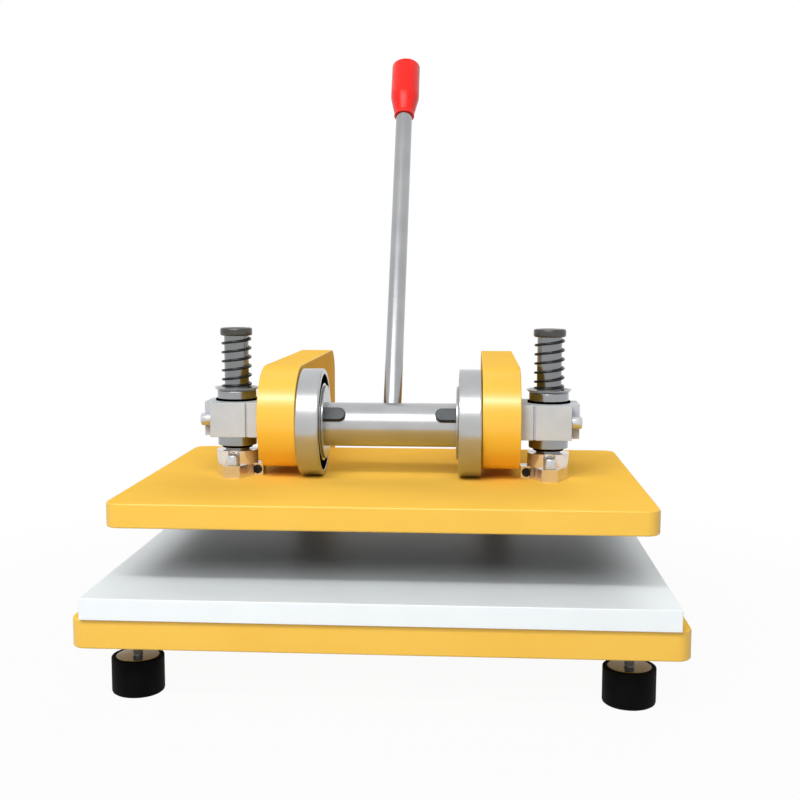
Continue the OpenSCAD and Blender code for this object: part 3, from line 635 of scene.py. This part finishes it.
# Points of the taper: beyond the neck's radius and above the foot, then inside the grip's and above the taper.
GRIP_FLARE = [(-0.25 * MM, 2.3 * MM), (0, 4 * MM), (1.15 * MM, 9.5 * MM), (2.4 * MM, 15.5 * MM)]
GRIP_SHOULDER = [(0.35 * MM, -1.2 * MM), (0.08 * MM, 0.9 * MM), (0, 3 * MM)]
LAY_ALONG_LEVER = (1, 0.03, 0.03)
# Drawn rod: bright, with faint lines along it.
drawn_steel = finish("drawn_steel", ("#A2A4A6", "#AAACAE"), drift=30 * MM, rough=(0.2, 0.26), grain=1 * MM,
                     depth=0.0006 * MM, lay=LAY_ALONG_LEVER, metallic=1.0)
# Dip moulded vinyl: saturated red with a soft sheen.
vinyl = finish("dipped_red_vinyl", ("#F61C14", "#FA241B"), drift=15 * MM, rough=(0.25, 0.3), grain=0.9 * MM,
               depth=0.003 * MM, specular=0.35)
dress(drawn_steel, "lever_rod")
shaft_low, shaft_high = corners("cross_shaft")
lever_axis = Vector((0, math.sin(LEAN), math.cos(LEAN)))
grip_foot = (shaft_low + shaft_high) / 2 + lever_axis * (LEVER_REACH - GRIP_L)
lever_r = LEVER_D / 2
neck_r = GRIP_NECK_D / 2
grip_r = GRIP_D / 2
grip_rows = [
    (0, GRIP_BORE), (lever_r, GRIP_BORE), (lever_r, GRIP_MOUTH), (lever_r + GRIP_MOUTH, 0),
    *arc(neck_r - GRIP_LIP, GRIP_LIP, GRIP_LIP, -90, GRIP_LIP_END, GRIP_LIP_STEPS),
    *((neck_r + beyond, above) for beyond, above in GRIP_FLARE),
    *((grip_r - inside, GRIP_TAPER + above) for inside, above in GRIP_SHOULDER),
    *arc(grip_r - GRIP_CROWN, GRIP_L - GRIP_CROWN, GRIP_CROWN, 0, 90), (0, GRIP_L),
]
grip = solid("vinyl_grip", *turned(grip_rows), vinyl, grip_foot, lever_axis)
mount(grip, "lever_shaft", "grip_red", "lever_grip")


# Guide blocks
# Zinc grey die cast blocks, bead blasted, with a groove down the front, screwed to the arms' outer sides.
# Each holds a ground steel bush with a rubber ring round it and a rubber wiper below.
# A pressed steel cup on the bush's top seats the spring.
BLOCK_EDGE = 0.5 * MM
SCREW_D = 6 * MM
SCREW_HEAD_D = 10 * MM
SCREW_HEAD_H = 8.5 * MM
BLOCK_SCREW_L = 50.5 * MM
RING_EDGE = 0.8 * MM
CUP_T = 1.3 * MM
CUP_CLEAR = 0.4 * MM
CUP_BEND = 0.3 * MM
CUP_FILLET = 0.2 * MM
# Points of the cup's rim, inside its radius and below its top.
CUP_RIM = [(0.2 * MM, 0.3 * MM), (0.15 * MM, 0.1 * MM), (0.4 * MM, 0), (0.8 * MM, 0.1 * MM)]
WIPER_D = 25 * MM
WIPER_H = 2.2 * MM
WIPER_CLEAR = 0.15 * MM
WIPER_EDGE = 0.6 * MM
WIPER_LIP = 0.4 * MM
LAY_ROUND_Z = (0.02, 0.02, 1)


def upright(node):
    """Middle of the foot, radius and height of a round solid that stands upright."""
    low, high = corners(node)
    return Vector(((low.x + high.x) / 2, (low.y + high.y) / 2, low.z)), (high.x - low.x) / 2, high.z - low.z


# Bead blasted zinc casting: flat light grey, with a grain of about 0.7 mm.
cast_zinc = finish("blasted_zinc_casting", ("#BDC2C8", "#C4C9CF"), drift=14 * MM, rough=(0.5, 0.62),
                   grain=0.7 * MM, depth=0.006 * MM)
# Ground bush: as the shaft, with its lines round Z.
bush_steel = finish("ground_bush_steel", ("#989A9C", "#A0A2A4"), drift=30 * MM, rough=(0.18, 0.23),
                    grain=1 * MM, depth=0.0006 * MM, lay=LAY_ROUND_Z, metallic=1.0)
# Zinc plate on cap screws: bright, faintly cloudy.
zinc_plate = finish("zinc_plate", ("#C4C6C8", "#D0D2D4"), drift=4 * MM, rough=(0.2, 0.26), grain=0.8 * MM,
                    depth=0.001 * MM, metallic=0.8)
dress(cast_zinc, *pair("guide_block"))
dress(bush_steel, *pair("guide_bush"))
ease(BLOCK_EDGE, *pair("guide_block", "guide_bush"))
screws_low, screws_high = corners("block_screws")
side_spots = [
    (Vector((way * (screws_high.x - SCREW_HEAD_H), y, (screws_low.z + screws_high.z) / 2)), (way, 0, 0))
    for way in (-1, 1)
    for y in (screws_low.y + SCREW_HEAD_D / 2, screws_high.y - SCREW_HEAD_D / 2)
]
block_screws = cap_screws("block_cap_screws", SCREW_D, BLOCK_SCREW_L, SCREW_HEAD_D, SCREW_HEAD_H, side_spots,
                          zinc_plate)
mount(block_screws, "frame", "screw_steel", "block_screws")
for side in SIDES:
    ring_foot, outer, thick = upright(f"{side}_bush_ring")
    bush_foot, inner = upright(f"{side}_guide_bush")[:2]
    ring_rows = [
        (inner, 0), *arc(outer - RING_EDGE, RING_EDGE, RING_EDGE, -90, 0),
        *arc(outer - RING_EDGE, thick - RING_EDGE, RING_EDGE, 0, 90), (inner, thick), (inner, 0),
    ]
    ring = solid(f"{side}_rubber_ring", *turned(ring_rows), nitrile, ring_foot)
    mount(ring, "frame", "black_rubber", f"{side}_bush_ring")
    cup_foot, rim, lip = upright(f"{side}_spring_seat")
    rod_r = upright(f"{side}_rod")[1]
    cup_bore = rod_r + CUP_CLEAR
    cup_rows = [
        (cup_bore, 0), (inner - CUP_BEND, 0), (inner, CUP_BEND),
        *((rim - inside, lip - below) for inside, below in CUP_RIM),
        (inner + CUP_FILLET, CUP_T), (cup_bore, CUP_T), (cup_bore, 0),
    ]
    cup = solid(f"{side}_seat_cup", *turned(cup_rows), ground_steel, cup_foot)
    mount(cup, "frame", "bright_steel", f"{side}_spring_seat")
    wiper_bore = rod_r + WIPER_CLEAR
    wiper_rows = [
        (wiper_bore, 0), (WIPER_D / 2, 0),
        *arc(WIPER_D / 2 - WIPER_EDGE, WIPER_EDGE - WIPER_H, WIPER_EDGE, 0, -90),
        (wiper_bore, WIPER_LIP - WIPER_H), (wiper_bore, 0),
    ]
    wiper = solid(f"{side}_wiper_ring", *turned(wiper_rows), nitrile, (cup_foot.x, cup_foot.y, bush_foot.z))
    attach(wiper, "frame")


# Press plate
# A thick steel plate with rounded corners and edges in the same powder coat, pushed down by the rollers.
# The rods' supports are screwed to its top, and its working face below is ground and left bare, dark so that it
# also deepens the shade on the board beneath.
# A dark underside hung over the board, where there is only shade, to deepen the shade beneath the plate.
BARE_SHADE_FACE = "#3A3A3B"
# Cosines between a face and straight down, where the paint ends and where all is bare.
BARE_SHADE_START = 0.8
BARE_SHADE_FULL = 0.95
# Powder coat over a bare face: the same yellow, and dark oiled steel where the plate faces down, which deepens
# the shade under the plate.
half_painted_shaded_below = paint.copy()
half_painted_shaded_below.name = "yellow_powder_coat_bare_below"
tint(half_painted_shaded_below, BARE_SHADE_FACE, DOWN, BARE_SHADE_START, BARE_SHADE_FULL)
dress(half_painted_shaded_below, "press_plate")
ease(PLATE_EDGE, "press_plate")


# Rods, caps and springs
# A ground rod stands in each support and slides in its bush, under a turned cap of blued steel.
# An open spring of oiled wire, closed only at its foot, lifts the plate again.
CAP_EDGE = 1.6 * MM
CAP_BORE = 3.5 * MM
CAP_DISH = 0.3 * MM
# Shares of the cap's radius at which its dish begins and ends.
CAP_DISH_TOP = 0.66
CAP_DISH_FLOOR = 0.62
WIRE = 2.1 * MM
WIRE_CLEAR = 0.35 * MM
WIRE_SIDES = 14
TURNS = 6.25
TURN_RINGS = 48
CLOSED_GAP = 0.6 * MM
# Blued steel: dark grey with a clear shine.
blued_steel = finish("blued_steel", ("#4F4E4C", "#575654"), drift=12 * MM, rough=(0.28, 0.34), grain=1 * MM,
                     depth=0.0006 * MM, metallic=0.9)
# Oiled spring wire: nearly black, with a thin bright line along each turn.
spring_wire = finish("oiled_spring_wire", ("#2C2C2C", "#343434"), drift=12 * MM, rough=(0.22, 0.28),
                     grain=1 * MM, depth=0.0006 * MM, metallic=0.9)
# Hardened rod, ground and oiled: a darker grey than the bushes, with its lines round Z.
rod_steel = finish("oiled_rod_steel", ("#818385", "#898B8D"), drift=30 * MM, rough=(0.18, 0.23),
                   grain=1 * MM, depth=0.0006 * MM, lay=LAY_ROUND_Z, metallic=1.0)
dress(rod_steel, *pair("rod"))
for side in SIDES:
    foot, cap_r, cap_h = upright(f"{side}_rod_cap")
    rod_r = upright(f"{side}_rod")[1]
    cap_rows = [
        (0, CAP_BORE), (rod_r, CAP_BORE), (rod_r, 0), *arc(cap_r - CAP_EDGE, CAP_EDGE, CAP_EDGE, -90, 0),
        *arc(cap_r - CAP_EDGE, cap_h - CAP_EDGE, CAP_EDGE, 0, 90), (cap_r * CAP_DISH_TOP, cap_h),
        (cap_r * CAP_DISH_FLOOR, cap_h - CAP_DISH), (0, cap_h - CAP_DISH),
    ]
    cap = solid(f"{side}_turned_cap", *turned(cap_rows), blued_steel, foot)
    mount(cap, "press", "dark_steel", f"{side}_rod_cap")
    seat = corners(f"{side}_spring_seat")[0].z + CUP_T
    gap = foot.z - seat
    spring = grown(f"{side}_wire_spring", winding, {
        "Wire": WIRE, "Radius": rod_r + WIRE_CLEAR + WIRE / 2, "Rise": gap - WIRE, "Turns": TURNS,
        "Closed": WIRE + CLOSED_GAP, "Rings": TURN_RINGS, "Sides": WIRE_SIDES,
        "Place": (foot.x, foot.y, seat + WIRE / 2), "Finish": spring_wire})
    mount(spring, "frame", "dark_steel", f"{side}_spring")
    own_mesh(spring)


# Rod supports
# Flanged shaft supports, milled and nickel plated, each slit and drawn tight on its rod by a black clamp screw.
# Two zinc plated cap screws hold each flange to the press plate.
FLANGE_SCREW_L = 23 * MM
CLAMP_D = 4 * MM
CLAMP_L = 9 * MM
CLAMP_HEAD_D = 7 * MM
CLAMP_HEAD_H = 4 * MM
FORWARD = (0, -1, 0)
# Nickel plate over milled steel: bright and a little warm, with cutter lines across the flange.
nickel = finish("nickel_plate", ("#DCD4CC", "#E4DCD4"), drift=12 * MM, rough=(0.1, 0.15), grain=1 * MM,
                depth=0.001 * MM, lay=LAY_ALONG_X, metallic=0.75)
dress(nickel, *pair("rod_support"))
flange_seat = corners("flange_screws")[1].z - SCREW_HEAD_H
flange_spots = four_spots("flange_screws", SCREW_HEAD_D / 2, flange_seat, UP)
flange_screws = cap_screws("flange_cap_screws", SCREW_D, FLANGE_SCREW_L, SCREW_HEAD_D, SCREW_HEAD_H,
                           flange_spots, zinc_plate)
mount(flange_screws, "press", "screw_steel", "flange_screws")
clamps_low, clamps_high = corners("clamp_screws")
clamp_spots = [
    (Vector((x, clamps_low.y + CLAMP_HEAD_H, (clamps_low.z + clamps_high.z) / 2)), FORWARD)
    for x in (clamps_low.x + CLAMP_HEAD_D / 2, clamps_high.x - CLAMP_HEAD_D / 2)
]
clamp_screws = cap_screws("clamp_cap_screws", CLAMP_D, CLAMP_L, CLAMP_HEAD_D, CLAMP_HEAD_H, clamp_spots,
                          black_oxide)
mount(clamp_screws, "press", "dark_steel", "clamp_screws")


# Cutting board
# A loose slab of white polypropylene that takes the cut, sawn to size and planed, its edges scraped.
# It lies on the base under the press plate and can be drawn out to the front.
BOARD_EDGE = 0.8 * MM
# Pressed polypropylene: bluish white with a low sheen and a fine pressed grain of about 1 mm.
polypropylene = finish("pressed_polypropylene", ("#F1F7F9", "#F4FAFC"), drift=40 * MM, rough=(0.42, 0.52),
                       grain=1 * MM, depth=0.008 * MM)
dress(polypropylene, "cutting_board")
ease(BOARD_EDGE, "cutting_board")
